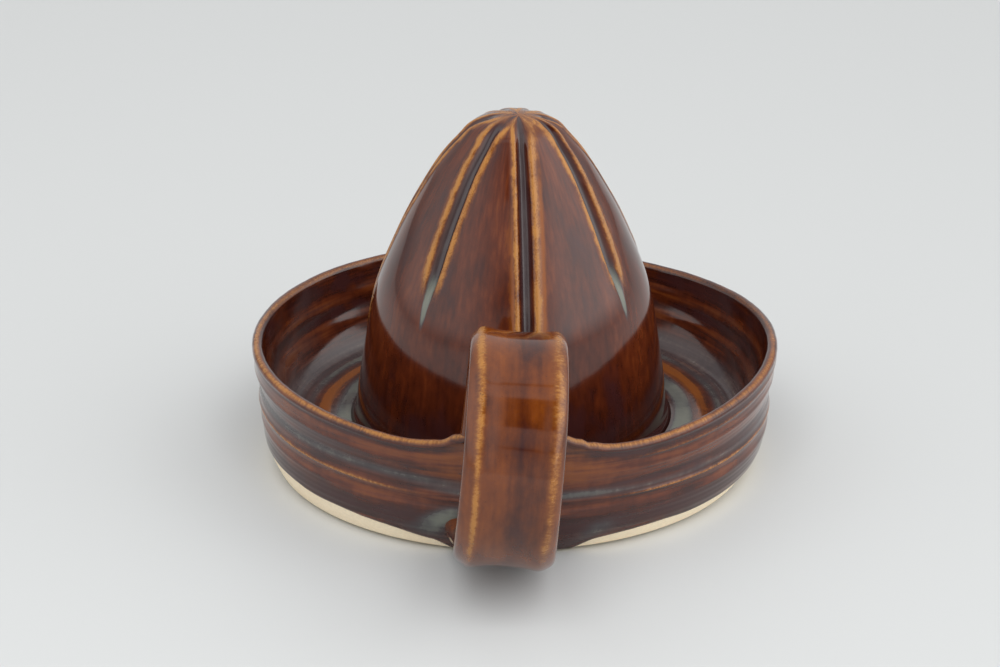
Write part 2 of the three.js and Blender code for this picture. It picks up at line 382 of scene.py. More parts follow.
def outside_rings(height, turn):
    """Throwing rings of the outer wall: relief, thin glaze, pools, tone with painted shade under the rim,
    amber.
    """
    level = height / MM + 0.25 * np.sin(3 * turn + 1) + 0.15 * np.sin(7 * turn + 2)
    left = smooth(-np.sin(turn), -0.3, 0.4)
    right = 1 - left
    away = smooth(np.abs(turn), 0.2, 0.62)
    near = 1 - smooth(np.abs(turn), 0.2, 0.5)
    spiral = level + 1.05 * np.sin(turn)
    sharp = bump(spiral, 18.1, 0.5) * away
    edge = bump(level, 30.6, 0.45) * right * away
    soft = bump(spiral, 27.4, 1.1) * away
    low = bump(spiral, 13.4, 0.8) * away
    groove = bump(spiral, 22.9, 2.2)
    # Band just under the rim: a shallow groove, and painted shade in the tone.
    collar_and_painted_shade = bump(level, 32.6, 1.0)
    waist = bump(spiral, 15.7, 1.1)
    heel = bump(spiral, 10.2, 1.6)
    push = 0.45 * sharp + 0.25 * edge + 0.28 * soft + 0.18 * low
    push += -0.5 * groove - 0.25 * collar_and_painted_shade - 0.2 * waist - 0.2 * heel + 0.03 * np.sin(3.6 * level)
    thin = 0.8 * sharp + 0.5 * edge + 0.1 * soft
    pool = left * 0.62 * bump(level, 23.2, 2.3) + right * 0.5 * bump(level, 19.4, 1.7)
    pool += 0.35 * near * bump(level, 20.6, 1.2)
    left_bands = 0.8 * bump(level, 30, 1.9) - 0.8 * bump(level, 27.2, 0.8) + 0.6 * bump(level, 15.9, 1.9)
    right_bands = 0.7 * bump(level, 25.6, 2.6) - 0.8 * bump(level, 21.6, 0.8)
    right_bands += 0.45 * bump(level, 14.4, 1.8)
    tone = left * left_bands + right * right_bands
    # Painted shade: the band just under the rim is darkened, as the rim's roll shades the wall there.
    tone += -0.8 * collar_and_painted_shade - 0.9 * bump(level, 9.6, 2.2) + 0.5 * near * bump(level, 27, 4)
    amber = 0.4 * near * smooth(level, 21, 26)
    return push * MM, thin, pool, tone, amber


def inside_rings(height, turn):
    """Throwing rings of the inner wall: relief, thin glaze, the low pool, and tone with painted shade under
    the rim.
    """
    level = height / MM + 0.3 * np.sin(2 * turn + 0.4) + 0.4 * np.sin(turn + 2)
    upper = bump(level, 27, 1.5)
    lower = bump(level, 20.5, 1.4)
    push = 0.1 * upper + 0.08 * lower - 0.12 * bump(level, 23.8, 2.2)
    # Painted shade: the band at 31 mm, just under the rim, is darkened where the rim shades the inner wall.
    tone = 0.6 * upper + 0.5 * lower - 0.5 * bump(level, 31, 2) - 0.5 * bump(level, 23.5, 1.5)
    pool = 0.5 * smooth(level, 18.5, 14)
    return push * MM, 0.08 * upper, pool, tone


def floor_rings(radius, turn):
    """Rings of the moat's floor, from the reamer out to the wall: relief, thin glaze, pools and amber."""
    out = radius / MM + 0.35 * np.sin(turn + 1) + 0.2 * np.sin(2 * turn)
    crest = bump(out, 54.4, 1.8)
    inner = bump(out, 50, 2.1)
    outer = bump(out, 59.6, 2.2)
    push = 0.2 * crest - 0.2 * inner - 0.2 * outer
    cloudy = 1 + 0.13 * np.sin(5 * turn + 1) + 0.08 * np.sin(13 * turn + 2)
    inner_pool = 0.8 * smooth(out, 44.5, 48) * smooth(out, 54, 50)
    pool = cloudy * (inner_pool + 0.66 * outer) + 0.6 * bump(out, 63.4, 1.7)
    amber = (1.0 + 0.25 * np.sin(3 * turn + 1) + 0.15 * np.sin(7 * turn)) * bump(out, 54.8, 1.9)
    return push * MM, 0.1 * crest, pool, amber


def dish_outline(sizes):
    """Closed outline as (radius, height) points and the part of the dish that each one belongs to."""
    lip = sizes.rim_thickness / 2
    rim = np.array([sizes.rim_radius - lip, sizes.rim_height - lip])
    rise = np.linspace(1 * MM, rim[1], WALL_ROWS, endpoint=False)
    heel = np.clip(1 - rise / sizes.floor_height, 0, 1) ** 1.7
    flare = np.clip((rise - sizes.floor_height) / (rim[1] - sizes.floor_height), 0, 1) ** 1.6
    outside = sizes.shoulder_radius - (sizes.shoulder_radius - sizes.foot_radius) * heel
    outside += (sizes.rim_radius - sizes.shoulder_radius) * flare
    corner = np.array([sizes.moat_radius, sizes.floor_height])
    inner = rim - [lip, 0]
    upper_pull = inner - [1.9 * MM, 10.9 * MM]
    lower_pull = corner + [4.5 * MM, 0.3 * MM]
    inside = bezier(inner, upper_pull, lower_pull, corner, INNER_ROWS)
    hole_top = [sizes.hole_radius, sizes.floor_height]
    stretches = [
        ("hole", run(hole_top, [sizes.hole_radius, 0.5 * MM], HOLE_ROWS)),
        ("base", run([sizes.hole_radius + 0.6 * MM, 0], [sizes.foot_radius - 0.9 * MM, 0], BASE_ROWS)),
        ("wall", np.column_stack([outside, rise])),
        ("rim", arc(rim, lip, 0, 180, RIM_ROWS)),
        ("inner", inside[:-1]),
        ("floor", run(corner, hole_top, FLOOR_ROWS)),
    ]
    zones = np.concatenate([[zone] * len(points) for zone, points in stretches])
    return np.concatenate([points for _, points in stretches]), zones


def rim_lumps(turn):
    """Heights of the small lumps and dents that the rim has beside the strap."""
    lumps = 0.5 * bump(turn, -0.225, 0.017) - 0.3 * bump(turn, -0.27, 0.02) + 0.35 * bump(turn, 0.24, 0.015)
    lumps = lumps + 0.2 * bump(turn, 0.29, 0.02) - 0.2 * bump(turn, 0.262, 0.012)
    return lumps * MM


def handle_pools(level, above, turn):
    """Grey pools of the outer wall: two beside the strap's foot, and one along the glaze's edge there."""
    pool = 0.92 * bump(turn, -0.26, 0.11) * bump(level, 12 + 24 * (turn + 0.26), 4)
    pool = pool + 0.35 * bump(turn, 0.3, 0.12) * bump(level, 9 + 22 * (turn - 0.3), 3.4)
    return pool + 0.4 * smooth(np.abs(turn), 0.8, 0.3) * bump(above, 2 * MM, 3.5 * MM)


def worn_rim(slope, turn):
    """Honey of the rim's worn edge, outside in front and inside at the back, and the dark tone past it."""
    right = smooth(np.sin(turn), 0.3, 0.9)
    rear = smooth(np.abs(turn), 1.2, 2.1)
    worn_edge = 58 + 72 * rear
    thin = (0.78 - 0.18 * right - 0.2 * rear) * bump(slope, worn_edge, 36)
    return thin, -0.8 * smooth(slope, worn_edge + 27, worn_edge + 72)


def dish_grid(sizes):
    """Rings of points of the whole dish, and the masks of its glaze."""
    outline, zones = dish_outline(sizes)
    even = np.linspace(-math.pi, math.pi, DISH_COLUMNS, endpoint=False)[None, :]
    turn = even - DISH_CROWDING * np.sin(even)
    radius, height = (outline[:, axis, None] + 0 * turn for axis in (0, 1))
    along = np.roll(outline, -1, 0) - np.roll(outline, 1, 0)
    along /= np.linalg.norm(along, axis=1)[:, None]
    out, up = along[:, 1, None], -along[:, 0, None]
    on = {zone: (zones == zone)[:, None] for zone in ("wall", "rim", "inner", "floor", "base", "hole")}

    wall_push, wall_thin, wall_pool, wall_tone, wall_amber = outside_rings(height, turn)
    inner_push, inner_thin, inner_pool, inner_tone = inside_rings(height, turn)
    floor_push, floor_thin, floor_pool, floor_amber = floor_rings(radius, turn)
    above = height - glaze_line(sizes, turn)
    ring = sizes.ring_depth
    ease = smooth(height, 3 * MM, 9 * MM) * smooth(sizes.rim_height - height, 0.5 * MM, 3 * MM)
    coat = 0.25 * MM * (smooth(above, -0.2 * MM, 0.3 * MM) - 1) + 0.1 * MM * bump(above, 0.6 * MM, 0.5 * MM)
    dimple = 0.03 * np.sin(19 * turn + 1) + 0.02 * np.sin(37 * turn + 2) + 0.015 * np.sin(83 * turn)
    push = on["wall"] * (ring * ease * wall_push + coat) + on["inner"] * ring * ease * inner_push
    push = push + on["floor"] * ring * floor_push + on["rim"] * dimple * MM
    radius = radius + out * push
    height = height + up * push
    wave, rise = rim_wave(turn)
    rise = rise + rim_lumps(turn) * smooth(height, 31 * MM, 35 * MM)
    height = height + wave * smooth(height, 12 * MM, 35 * MM) + rise * smooth(height, 22 * MM, 35 * MM)

    level = outline[:, 1, None] / MM
    near_top = (on["rim"] | on["wall"]) * (level > 32)
    rim_thin, rim_tone = worn_rim(np.degrees(np.arctan2(up, out)), turn)
    thin = on["wall"] * wall_thin + on["inner"] * inner_thin + on["floor"] * floor_thin
    thin = thin + near_top * rim_thin
    wall_pool = wall_pool + handle_pools(level, above, turn)
    clay = np.where(on["base"] | on["hole"], UNGLAZED, GLAZED)
    wrap_x = RIM_RADIUS * np.sin(turn) + 0 * height
    wrap_y = -RIM_RADIUS * np.cos(turn) + 0 * height
    masks = {
        "thin": thin,
        "tone": on["wall"] * wall_tone + on["inner"] * inner_tone + on["rim"] * rim_tone,
        "amber": on["floor"] * floor_amber + on["wall"] * wall_amber,
        "pool": on["wall"] * wall_pool + on["inner"] * inner_pool + on["floor"] * floor_pool,
        "bare": np.where(on["wall"], -above, clay) + 0 * turn,
        "flow": np.stack([wrap_x, wrap_y, height + radius], -1),
    }
    aside = sizes.foot_aside * smooth(height, 9 * MM, 0)
    grid = np.stack([radius * np.sin(turn) + AXIS.x - aside, AXIS.y - radius * np.cos(turn), height], -1)
    return grid, masks


# Handle


def strap_line(sizes):
    """Strap's middle line from rim to foot: (distance from the pot's axis, height), and the way along it."""
    bend = sizes.loop_radius - sizes.thickness / 2
    centre = np.array([sizes.loop_reach - sizes.loop_radius, sizes.loop_height])
    loop = arc(centre, bend, LOOP_START, LOOP_END, LOOP_POINTS)
    aloft = (loop[:, 1] - sizes.loop_height) / bend
    loop[:, 1] += sizes.rise * np.clip(aloft, 0, 1) + sizes.sag * np.clip(aloft, -1, 0)
    rise, fall = loop[0], loop[-1]
    root = np.array([RIM_RADIUS - ROOT_SINK, ROOT_HEIGHT])
    tail = np.array([RIM_RADIUS - TAIL_SINK - sizes.thickness / 2, TAIL_HEIGHT])
    climb = (rise[1] - root[1]) / 2
    reach = (fall[0] - tail[0]) / 2
    up = np.radians(LOOP_START)
    down = np.radians(LOOP_END)
    first = bezier(
        root,
        root + [-1 * MM, climb],
        rise + climb / 2 * np.array([-np.sin(up), np.cos(up)]),
        rise,
        ROOT_POINTS,
    )
    last = bezier(
        fall,
        fall + reach * np.array([np.sin(down), -np.cos(down)]),
        tail + [reach, 0],
        tail,
        TAIL_POINTS,
    )
    return evenly(np.concatenate([first[:-1], loop, last[1:]]), STRAP_STATIONS)


def strap_section(sizes, spread, face, back, left, right):
    """One cross-section, (across, out) points: ridges left and right of a dished face, and eased sides."""
    half = sizes.width / 2 * spread
    deep = sizes.thickness / 2 * face
    under = -sizes.thickness / 2 * back
    corners = np.array([
        [left, deep],
        [left * 0.55 + right * 0.1, deep - sizes.dish * 0.85],
        [(left + right) / 2, deep - sizes.dish],
        [right * 0.6 + left * 0.05, deep - sizes.dish * 0.8],
        [right, deep],
        [half, 0.32 * deep],
        [half, 0.5 * under],
        [0.86 * half, under],
        [-0.84 * half, under],
        [-half, 0.55 * under],
        [-half, 0.2 * deep],
        [left, deep],
    ])
    loop = evenly(corners, STRAP_POINTS + 1)[0][:-1]
    for _ in range(STRAP_EASING):
        loop = (np.roll(loop, 1, 0) + 2 * loop + np.roll(loop, -1, 0)) / 4
    return loop


def strap_grid(sizes):
    """Rings of points along the strap, and the masks of its glaze."""
    line, reach = strap_line(sizes)
    run_along = np.gradient(line, axis=0)
    run_along /= np.linalg.norm(run_along, axis=1)[:, None]
    travel = reach / MM
    root = bump(reach, 0, 10 * MM)
    tail = bump(reach, reach[-1], 9 * MM)
    lower = smooth(travel, 60, 120)
    waver = 0.25 * np.sin(travel / 13 + 1) + 0.15 * np.sin(travel / 5.1)
    left_ridge = (-9.5 + 0.6 * lower + waver) * MM
    right_ridge = (10.4 - 0.5 * lower + waver) * MM
    sections = np.array([
        strap_section(
            sizes,
            1 + 0.03 * lower[i] + 0.08 * root[i] + 0.2 * tail[i] + 0.008 * math.sin(travel[i] / 9),
            1 - 0.5 * root[i] + 0.2 * tail[i],
            1 - 0.5 * root[i] + 0.5 * tail[i],
            left_ridge[i] - 2.5 * MM * (root[i] + tail[i]),
            right_ridge[i] + 2 * MM * (root[i] + tail[i]),
        )
        for i in range(len(line))
    ])
    across, lift = sections[..., 0], sections[..., 1]
    hug = RIM_RADIUS - np.sqrt(RIM_RADIUS**2 - across**2)
    out = line[:, 0, None] - run_along[:, 1, None] * lift - root[:, None] * hug
    up = line[:, 1, None] + run_along[:, 0, None] * lift - sizes.loop_height
    sway = sizes.sway * smooth(-up, -26 * MM, 20 * MM)
    x = across * math.cos(sizes.tilt) + up * math.sin(sizes.lean) - sizes.aside - sway
    z = sizes.loop_height + up * math.cos(sizes.lean) - across * math.sin(sizes.tilt)
    grid = np.stack([AXIS.x + x, AXIS.y - out, z], -1)

    face = smooth(lift, 0.8 * MM, 2 * MM)
    patchy = 0.07 * np.sin(travel / 3.1) + 0.06 * np.sin(travel / 1.3 + 1)
    patchy = patchy + 0.05 * np.sin(travel / 0.8 + 2)
    left_width = (1.4 - 0.4 * lower) * MM
    right_width = (2.1 - 0.5 * lower) * MM
    ridges = (0.84 + patchy)[:, None] * bump(across, left_ridge[:, None], left_width[:, None])
    ridges = ridges + (0.66 - patchy)[:, None] * bump(across, right_ridge[:, None], right_width[:, None])
    strip = bump(across, 2.2 * MM, 3.4 * MM) * face
    foot = smooth(travel, 112, 128)[:, None]
    ends = tail[:, None] * smooth(np.abs(across), 0.8 * sizes.width / 2, sizes.width / 2)
    masks = {
        "thin": ridges * face * (1 - 0.8 * foot) + 0.25 * ends,
        "tone": 0.22 - 0.4 * strip + 0.12 * lower[:, None] - 0.1 * foot,
        "amber": 0.45 - 0.16 * strip + 0.03 * lower[:, None] - 0.1 * foot - 0.3 * ends,
        "pool": 0.02 * lower[:, None] + 0.05 * strip + 0.1 * foot + 0 * across,
        "bare": np.full(across.shape, GLAZED),
        "flow": np.stack([across, lift, reach[:, None] + 0 * across], -1),
    }
    return grid, masks


# Node trees: numbers worked out over a surface


def join(tree, value, slot):
    """Feeds a socket from a number over the surface, or sets it to a plain value."""
    if isinstance(value, Field):
        tree.links.new(value.socket, slot)
    else:
        slot.default_value = value


def add_node(tree, kind, **settings):
    """A new node with its settings, placed in rows of twelve."""
    node = tree.nodes.new(kind)
    count = len(tree.nodes)
    node.location = (count % 12 * 190, -(count // 12) * 240)
    for name, value in settings.items():
        setattr(node, name, value)
    return node


class Field:
    """A number over a surface. Each step of its arithmetic adds one node to the tree."""

    def __init__(self, tree, socket):
        self.tree = tree
        self.socket = socket

    def step(self, operation, *others):
        node = add_node(self.tree, "ShaderNodeMath", operation=operation)
        for slot, value in zip(node.inputs, (self, *others)):
            join(self.tree, value, slot)
        return Field(self.tree, node.outputs[0])

    def __add__(self, other):
        return self.step("ADD", other)

    def __sub__(self, other):
        return self.step("SUBTRACT", other)

    def __mul__(self, other):
        return self.step("MULTIPLY", other)

    def __truediv__(self, other):
        return self.step("DIVIDE", other)

    def __pow__(self, other):
        return self.step("POWER", other)

    def __neg__(self):
        return self.step("MULTIPLY", -1.0)

    def flipped(self):
        """One minus the number."""
        return self.step("MULTIPLY_ADD", -1.0, 1.0)

    def smooth(self, low, high):
        node = add_node(self.tree, "ShaderNodeMapRange", interpolation_type="SMOOTHSTEP")
        for slot, value in zip(node.inputs, (self, low, high)):
            join(self.tree, value, slot)
        return Field(self.tree, node.outputs[0])

    def bump(self, centre, width):
        away = (self - centre) / width
        return (-(away * away)).step("EXPONENT")


def vector(tree, x, y, z):
    node = add_node(tree, "ShaderNodeCombineXYZ")
    for slot, value in zip(node.inputs, (x, y, z)):
        join(tree, value, slot)
    return Field(tree, node.outputs[0])


def noise(tree, place, scale, detail, roughness=0.5, seed=0.0):
    node = add_node(tree, "ShaderNodeTexNoise", noise_dimensions="4D")
    join(tree, place, node.inputs["Vector"])
    join(tree, scale, node.inputs["Scale"])
    join(tree, seed, node.inputs["W"])
    node.inputs["Detail"].default_value = detail
    node.inputs["Roughness"].default_value = roughness
    return Field(tree, node.outputs[0])


def group_tree(name, kind, inputs, outputs):
    """A new node group, its inputs by name and its output node.

    Inputs are given as (name, socket type, default), and outputs as (name, socket type).
    """
    tree = bpy.data.node_groups.new(name, kind)
    for label, socket, default in inputs:
        made = tree.interface.new_socket(name=label, in_out="INPUT", socket_type=socket)
        if default is not None:
            made.default_value = default
    for label, socket in outputs:
        tree.interface.new_socket(name=label, in_out="OUTPUT", socket_type=socket)
    given = add_node(tree, "NodeGroupInput")
    wanted = add_node(tree, "NodeGroupOutput")
    return tree, {socket.name: Field(tree, socket) for socket in given.outputs if socket.name}, wanted


# Reamer


REAMER_INPUTS = {
    "Foot Radius": "foot_radius",
    "Tip Height": "tip_height",
    "Wall": "wall",
    "Crown": "crown",
    "Flute Count": "flute_count",
    "Start Angle": "start_angle",
    "Pole Aside": "pole_aside",
    "Pole Front": "pole_front",
    "Flute Width": "flute_width",
    "Flute Depth": "flute_depth",
    "Lip Height": "lip_height",
    "Flute End": "flute_end",
    "Run-out": "run_out",
    "Coil": "coil",
    "Belly": "belly",
    "Wobble": "wobble",
    "Seed": "seed",
}


def grid_nodes(tree, columns, rows):
    """A flat grid with its two shares, 0 to 1: round the cone, and from the foot to the tip."""
    sheet = add_node(tree, "GeometryNodeMeshGrid")
    for slot, value in zip(sheet.inputs, (1.0, 1.0, columns + 1, rows + 1)):
        slot.default_value = value
    place = add_node(tree, "GeometryNodeInputPosition")
    split = add_node(tree, "ShaderNodeSeparateXYZ")
    tree.links.new(place.outputs[0], split.inputs[0])
    across, along = (Field(tree, split.outputs[i]) + 0.5 for i in (0, 1))
    return sheet.outputs[0], across, along


def around(tree, turn, radius, height):
    """Point at a turn, a radius and a height about the pot's axis."""
    return vector(tree, turn.step("SINE") * radius, turn.step("COSINE") * radius, height)


def named_attribute(tree, geometry, name, value, kind="FLOAT"):
    node = add_node(tree, "GeometryNodeStoreNamedAttribute", data_type=kind, domain="POINT")
    tree.links.new(geometry, node.inputs["Geometry"])
    node.inputs["Name"].default_value = name
    join(tree, value, next(slot for slot in node.inputs if slot.name == "Value" and slot.enabled))
    return node.outputs[0]


def masked(tree, geometry, masks, flow):
    """A sheet with its masks and the flow of its glaze stored on its points."""
    for name, value in masks.items():
        geometry = named_attribute(tree, geometry, name, value)
    return named_attribute(tree, geometry, "flow", flow, "FLOAT_VECTOR")


def placed(tree, geometry, turn, radius, height, drift):
    """A sheet wrapped round the pot's axis, and moved aside by its drift."""
    x = radius * turn.step("SINE") + drift + AXIS.x
    y = -(radius * turn.step("COSINE")) + AXIS.y
    spot = vector(tree, x, y, height)
    node = add_node(tree, "GeometryNodeSetPosition")
    tree.links.new(geometry, node.inputs["Geometry"])
    join(tree, spot, node.inputs["Position"])
    return node.outputs[0]


def cone_share(row):
    """Share of the cone's height at a row, with rows closing up towards the blunt tip."""
    rest = row.flipped()
    return (rest * rest).flipped()


def cone_drift(share):
    """How far the cone stands aside of the pot's axis: to the left at its foot, less at its tip."""
    return share * (0.9 * MM) - 0.95 * MM


def dome(share, radius):
    """Radius of the plain domed cone at a share of its height."""
    return (share**1.5).flipped().step("MAXIMUM", 0.0).step("SQRT") * radius


def thrown_radius(size, share, height):
    """Radius of the cone before it is carved, and a share that falls to nothing at its pole."""
    plain = dome(share, size["Foot Radius"])
    off_pole = plain.smooth(0.0, 2 * MM)
    fullness = height.bump(52 * MM, 11 * MM) - height.bump(82 * MM, 8 * MM) * 0.5
    blunt = height.bump(size["Tip Height"] - 3 * MM, 3 * MM) * plain.smooth(0.0, 6 * MM)
    return plain + (fullness * size["Belly"] + blunt * (1.4 * MM)) * off_pole, off_pole


def carved_flutes(size, turn, radius, height):
    """The nearest flute at each point: its distance, its width, where it ends and how far it is cut."""
    pitch = size["Flute Count"] ** -1.0 * (2 * math.pi)
    from_pole = radius * turn.step("SINE") - size["Pole Aside"]
    to_front = radius * turn.step("COSINE") - size["Pole Front"]
    heading = from_pole.step("ARCTAN2", to_front)
    reach = (from_pole * from_pole + to_front * to_front).step("SQRT")
    miss = (reach * -0.12 + 3.6 * MM).step("MAXIMUM", 0.0) / reach.step("MAXIMUM", 4 * MM)
    astray = miss * heading.bump(1.12, 0.42) + heading.bump(-0.78, 0.35) * 0.05
    count = (heading - astray - size["Start Angle"]) / pitch
    lean = count - (count + 0.5).step("FLOOR")
    aside = lean.step("ABSOLUTE") * pitch * reach
    front = turn.bump(size["Start Angle"], 0.4)
    far_left = turn.bump(FAR_LEFT_TURN, 0.3)
    end = size["Flute End"] - front * FRONT_DROP - far_left * FAR_LEFT_DROP
    fade = height.smooth(end, end + size["Run-out"])
    taper = height.smooth(end - 4 * MM, end + size["Run-out"] * 1.5) * 0.65 + 0.35
    spread = reach.smooth(8 * MM, 30 * MM) * 0.2 + 0.8
    room = pitch * reach * (front * 0.14 + 0.28)
    half = (size["Flute Width"] * 0.5 * spread).step("MINIMUM", room) * taper + 0.02 * MM
    edge = aside / half
    begun = reach.smooth(3 * MM, 10 * MM).step("MAXIMUM", front * reach.smooth(0.3 * MM, 1.5 * MM))
    channel = edge.smooth(0.2, 1.0).flipped() * fade * begun
    return SimpleNamespace(
        lean=lean,
        aside=aside,
        reach=reach,
        front=front,
        end=end,
        fade=fade,
        half=half,
        edge=edge,
        channel=channel,
    )


def cone_masks(tree, size, foot, turn, radius, height, flute):
    """Where the cone's glaze breaks to gold, clears to amber, pools, changes tone and has a painted dark
    reflection.
    """
    spot = around(tree, turn, radius, height)
    worn = noise(tree, spot, 170.0, 2.0, 0.5, size["Seed"] + 3.0)
    ragged = (noise(tree, spot, 420.0, 1.0, 0.5, size["Seed"] + 5.0) - 0.5) * (1.3 * MM)
    drawn = around(tree, turn, radius * 2.5, height * 0.6)
    wisps = noise(tree, drawn, 190.0, 2.0, 0.55, size["Seed"] + 7.0)

    past = flute.aside - flute.half * 0.8
    right_side = flute.lean.smooth(0.0, 0.05)
    left_side = flute.lean.smooth(0.0, -0.05)
    crown = flute.reach.smooth(4 * MM, 14 * MM).flipped()
    broad = (flute.front * 0.5 + turn.bump(RIGHT_TURN, 0.4) * 0.9 + 0.4) * right_side
    broad = broad + turn.bump(LEFT_TURN, 0.4) * 0.6
    breadth = broad * MM + 1.6 * MM
    gold = (past + ragged).bump(breadth * 0.4, breadth * 0.58) * past.smooth(-0.35 * MM, 0.1 * MM)
    gold = gold * (worn * 1.5 + 0.15) * flute.fade * (crown * 0.12).flipped()
    thin = gold.step("MAXIMUM", crown * 0.5 * flute.channel.flipped())

    right_lip = flute.front * right_side
    lower_half = height.smooth(60 * MM, 92 * MM).flipped()
    fringe = past.bump(breadth, 0.8 * MM) * flute.fade * (lower_half * 0.2 + right_lip * 0.6 + 0.15)
    drip = past.bump(breadth + 0.5 * MM, 0.8 * MM) * right_lip * height.smooth(96 * MM, 90 * MM)
    # Painted dark reflection: amber beside the front flute's left lip stands in for missing sheen; partly
    # clear glaze.
    clear_and_dark_reflection = past.smooth(1.1 * MM, 1.7 * MM) * (past / (6.5 * MM) + wisps).smooth(1.15, 0.85)
    clear_and_dark_reflection = clear_and_dark_reflection * left_side * flute.front * height.smooth(90 * MM, 76 * MM)
    amber = fringe + clear_and_dark_reflection * 0.45 + drip * wisps.smooth(0.2, 0.55) * 0.4

    near_end = height.smooth(flute.end + 1 * MM, flute.end + 17 * MM).flipped()
    tail = height.smooth(flute.end - 8 * MM, flute.end)
    pool = (flute.edge.smooth(0.5, 1.2).flipped() * near_end * tail).step("MAXIMUM", flute.channel * 0.45)
    crevice = height.smooth(foot, foot + 2.6 * MM).flipped() * 0.1
    tone = height.smooth(foot, foot + 34 * MM) * 0.55 - 0.4 - flute.channel * 0.6
    return {"thin": thin, "amber": amber, "pool": pool + crevice + 0.06, "tone": tone}


def outer_cone(tree, size, foot):
    """Sheet of the cone's outside. Its first row lies inside the foot and meets the hollow there."""
    sheet, across, along = grid_nodes(tree, CONE_COLUMNS, CONE_ROWS)
    turn = (across - 0.5) * (2 * math.pi)
    first_row = 1 / CONE_ROWS
    share = cone_share(((along - first_row) / (1 - first_row)).step("MAXIMUM", 0.0))
    height = share * (size["Tip Height"] - foot) + foot
    radius, off_pole = thrown_radius(size, share, height)
    flute = carved_flutes(size, turn, radius, height)

    lip = flute.edge.bump(1.15, 0.32) * flute.fade
    shallow = flute.reach.smooth(0.0, 15 * MM)
    spot = around(tree, turn, radius, height)
    uneven = (noise(tree, spot, 38.0, 1.5, 0.4, size["Seed"]) - 0.5) * size["Wobble"] * 2.0
    flare = ((height - foot) / (2.4 * MM)).smooth(0.0, 1.0).flipped()
    push = lip * size["Lip Height"] * shallow
    push = push - flute.channel * size["Flute Depth"] * (shallow * 0.92 + 0.08)
    push = (push + uneven * shallow + flare * flare * size["Coil"]) * off_pole
    at_bore = along.step("LESS_THAN", first_row / 2)
    shaped = (radius + push) * at_bore.flipped() + (size["Foot Radius"] - size["Wall"]) * at_bore

    masks = cone_masks(tree, size, foot, turn, radius, height, flute)
    masks["bare"] = at_bore * (UNGLAZED - GLAZED) + GLAZED
    geometry = masked(tree, sheet, masks, around(tree, turn, size["Foot Radius"], height))
    return placed(tree, geometry, turn, shaped, height, cone_drift(share))


def hollow(tree, size, foot):
    """Sheet of the bare hollow in the cone, with its faces turned to the inside."""
    sheet, across, along = grid_nodes(tree, CONE_COLUMNS, HOLLOW_ROWS)
    turn = (across - 0.5) * (2 * math.pi)
    share = cone_share(along)
    height = share * (size["Tip Height"] - size["Crown"] - foot) + foot
    bore = size["Foot Radius"] - size["Wall"]
    masks = {"thin": 0.0, "amber": 0.0, "pool": 0.0, "tone": 0.0, "bare": UNGLAZED}
    geometry = masked(tree, sheet, masks, around(tree, turn, bore, height))
    flip = add_node(tree, "GeometryNodeFlipFaces")
    wrapped = placed(tree, geometry, turn, dome(share, bore), height, cone_drift(share))
    tree.links.new(wrapped, flip.inputs[0])
    return flip.outputs[0]


def reamer_tree(material, foot):
    """Geometry Nodes tree of the fluted cone: a rule places each point of its outside and its hollow."""
    inputs = [(name, "NodeSocketFloat", 0.0) for name in REAMER_INPUTS]
    outputs = [("Geometry", "NodeSocketGeometry")]
    tree, size, wanted = group_tree("fluted_reamer", "GeometryNodeTree", inputs, outputs)
    both = add_node(tree, "GeometryNodeJoinGeometry")
    tree.links.new(outer_cone(tree, size, foot), both.inputs[0])
    tree.links.new(hollow(tree, size, foot), both.inputs[0])
    closed = add_node(tree, "GeometryNodeMergeByDistance")
    closed.inputs["Distance"].default_value = MERGE_DISTANCE
    shaded = add_node(tree, "GeometryNodeSetShadeSmooth")
    real = add_node(tree, "GeometryNodeRealizeInstances")
    dressed = add_node(tree, "GeometryNodeSetMaterial")
    dressed.inputs["Material"].default_value = material
    chain = [both, closed, shaded, real, dressed, wanted]
    for before, after in zip(chain, chain[1:]):
        tree.links.new(before.outputs[0], after.inputs[0])
    return tree


def grown_mesh(name, tree, values):
    """Plain mesh object of what a tree makes with these values for its named inputs."""
    seedling = bpy.data.objects.new(name, bpy.data.meshes.new(name + "_seed"))
    bpy.context.scene.collection.objects.link(seedling)
    modifier = seedling.modifiers.new("grown", "NODES")
    modifier.node_group = tree
    for socket in tree.interface.items_tree:
        if socket.in_out == "INPUT":
            modifier[socket.identifier] = float(values[socket.name])
    graph = bpy.context.evaluated_depsgraph_get()
    mesh = bpy.data.meshes.new_from_object(seedling.evaluated_get(graph))
    seedling.modifiers.remove(modifier)
    seedling.data = mesh
    mesh.name = name
    return seedling


# Finishes


def shade(tree, under, over, share):
    """One colour laid over another by a share."""
    node = add_node(tree, "ShaderNodeMix", data_type="RGBA")
    factor, below, above = node.inputs[0], node.inputs[6], node.inputs[7]
    for slot, value in ((factor, share), (below, under), (above, over)):
        join(tree, value, slot)
    return Field(tree, node.outputs[2])


def solid_colour(value):
    """A colour with full opacity, as a socket takes it."""
    return (*value, 1.0)


